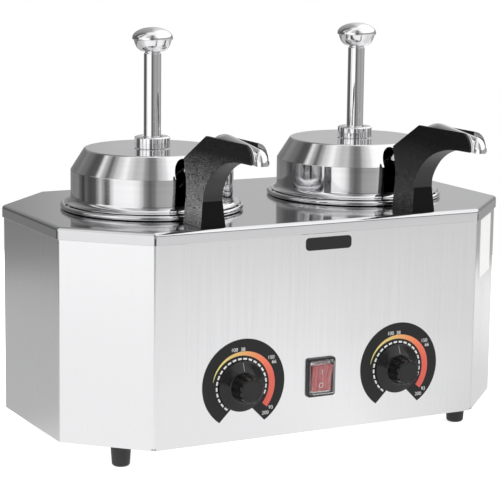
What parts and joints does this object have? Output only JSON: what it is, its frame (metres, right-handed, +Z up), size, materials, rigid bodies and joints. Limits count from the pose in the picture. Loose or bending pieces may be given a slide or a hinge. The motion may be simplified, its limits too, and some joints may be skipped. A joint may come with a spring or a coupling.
{
  "type": "hot fudge topping warmer",
  "caption": "Twin-well hot topping warmer: brushed steel cabinet, lidded jars with push-down pumps, heated black spout arms, thermostat dials and a rocker switch.",
  "frame": {"origin": "on the table, under the middle of the cabinet, in the plane of the four rubber soles", "axes": "+X to the right along the front, seen by someone who faces the controls; +Y from front to back; +Z up"},
  "size_m": [0.4048, 0.322, 0.3357],
  "materials": {
    "cabinet_steel": "fine brushed, satin",
    "deck_steel": "bright, lightly brushed",
    "plated_steel": "zinc plated",
    "foot_rubber": "matte",
    "vessel_steel": "spun, satin inside",
    "spun_steel": "spun and polished",
    "bright_chrome": "mirror bright",
    "pump_steel": "drawn stainless",
    "white_acetal": "machined",
    "seal_rubber": "matte",
    "arm_plastic": "black, fine textured",
    "heater_metal": "cast, matt",
    "sensor_copper": "plain copper",
    "dial_black": "matt charcoal print",
    "knob_black": "glossy black",
    "phenolic": "moulded",
    "switch_black": "black, low gloss",
    "rocker_red": "translucent red",
    "cover_clear": "clear soft cover",
    "label_black": "bare black plate",
    "label_white": "bare white film",
    "gland_black": "moulded nylon"
  },
  "bodies": {
    "cabinet": {"casing": "cabinet_steel", "deck": "deck_steel", "base_plate": "plated_steel", "feet": "foot_rubber", "foot_studs": "plated_steel", "foot_nuts": "plated_steel", "switch_housing": "switch_black", "switch_cover": "cover_clear", "front_label": "label_black", "side_label": "label_white", "terminal_block": "phenolic", "cord_gland": "gland_black", "well_left": "vessel_steel", "heater_left": "heater_metal", "spout_housing_left": "arm_plastic", "spout_trough_left": "pump_steel", "spout_heater_left": "heater_metal", "dial_plate_left": "dial_black", "thermostat_left": "phenolic", "sensor_left": "sensor_copper", "well_right": "vessel_steel", "heater_right": "heater_metal", "spout_housing_right": "arm_plastic", "spout_trough_right": "pump_steel", "spout_heater_right": "heater_metal", "dial_plate_right": "dial_black", "thermostat_right": "phenolic", "sensor_right": "sensor_copper"},
    "jar_left": {"jar_left": "vessel_steel"},
    "lid_left": {"lid_left": "spun_steel", "collar_nut_left": "bright_chrome", "pump_cylinder_left": "pump_steel", "rod_bush_left": "white_acetal", "valve_body_left": "pump_steel", "discharge_tube_left": "bright_chrome", "return_spring_left": "pump_steel"},
    "plunger_left": {"plunger_rod_left": "bright_chrome", "plunger_knob_left": "bright_chrome", "piston_left": "white_acetal", "piston_seal_left": "seal_rubber"},
    "ball_left": {"inlet_ball_left": "pump_steel"},
    "control_knob_left": {"thermostat_knob_left": "knob_black", "thermostat_shaft_left": "plated_steel"},
    "jar_right": {"jar_right": "vessel_steel"},
    "lid_right": {"lid_right": "spun_steel", "collar_nut_right": "bright_chrome", "pump_cylinder_right": "pump_steel", "rod_bush_right": "white_acetal", "valve_body_right": "pump_steel", "discharge_tube_right": "bright_chrome", "return_spring_right": "pump_steel"},
    "plunger_right": {"plunger_rod_right": "bright_chrome", "plunger_knob_right": "bright_chrome", "piston_right": "white_acetal", "piston_seal_right": "seal_rubber"},
    "ball_right": {"inlet_ball_right": "pump_steel"},
    "control_knob_right": {"thermostat_knob_right": "knob_black", "thermostat_shaft_right": "plated_steel"},
    "rocker": {"switch_rocker": "rocker_red"}
  },
  "joints": [
    {"name": "jar_lift_left", "type": "slide", "parent": "cabinet", "child": "jar_left", "axis": [0, 0, 1], "range_m": [0, 0.145]},
    {"name": "lid_lift_left", "type": "slide", "parent": "jar_left", "child": "lid_left", "axis": [0, 0, 1], "range_m": [0, 0.145]},
    {"name": "plunger_press_left", "type": "slide", "parent": "lid_left", "child": "plunger_left", "axis": [0, 0, -1], "range_m": [0, 0.05], "stiffness_N_per_m": 400, "springref_m": -0.02, "deforming": ["return_spring_left"]},
    {"name": "ball_lift_left", "type": "slide", "parent": "lid_left", "child": "ball_left", "axis": [0, 0, 1], "range_m": [0, 0.002]},
    {"name": "thermostat_turn_left", "type": "hinge", "parent": "cabinet", "child": "control_knob_left", "pos_m": [-0.071, -0.114, 0.064], "axis": [0, -1, 0], "range_deg": [-135, 135]},
    {"name": "jar_lift_right", "type": "slide", "parent": "cabinet", "child": "jar_right", "axis": [0, 0, 1], "range_m": [0, 0.145]},
    {"name": "lid_lift_right", "type": "slide", "parent": "jar_right", "child": "lid_right", "axis": [0, 0, 1], "range_m": [0, 0.145]},
    {"name": "plunger_press_right", "type": "slide", "parent": "lid_right", "child": "plunger_right", "axis": [0, 0, -1], "range_m": [0, 0.05], "stiffness_N_per_m": 400, "springref_m": -0.02, "deforming": ["return_spring_right"]},
    {"name": "ball_lift_right", "type": "slide", "parent": "lid_right", "child": "ball_right", "axis": [0, 0, 1], "range_m": [0, 0.002]},
    {"name": "thermostat_turn_right", "type": "hinge", "parent": "cabinet", "child": "control_knob_right", "pos_m": [0.071, -0.114, 0.064], "axis": [0, -1, 0], "range_deg": [-135, 135]},
    {"name": "switch_press", "type": "hinge", "parent": "cabinet", "child": "rocker", "pos_m": [0, -0.1106, 0.064], "axis": [-1, 0, 0], "range_deg": [0, 18]}
  ]
}
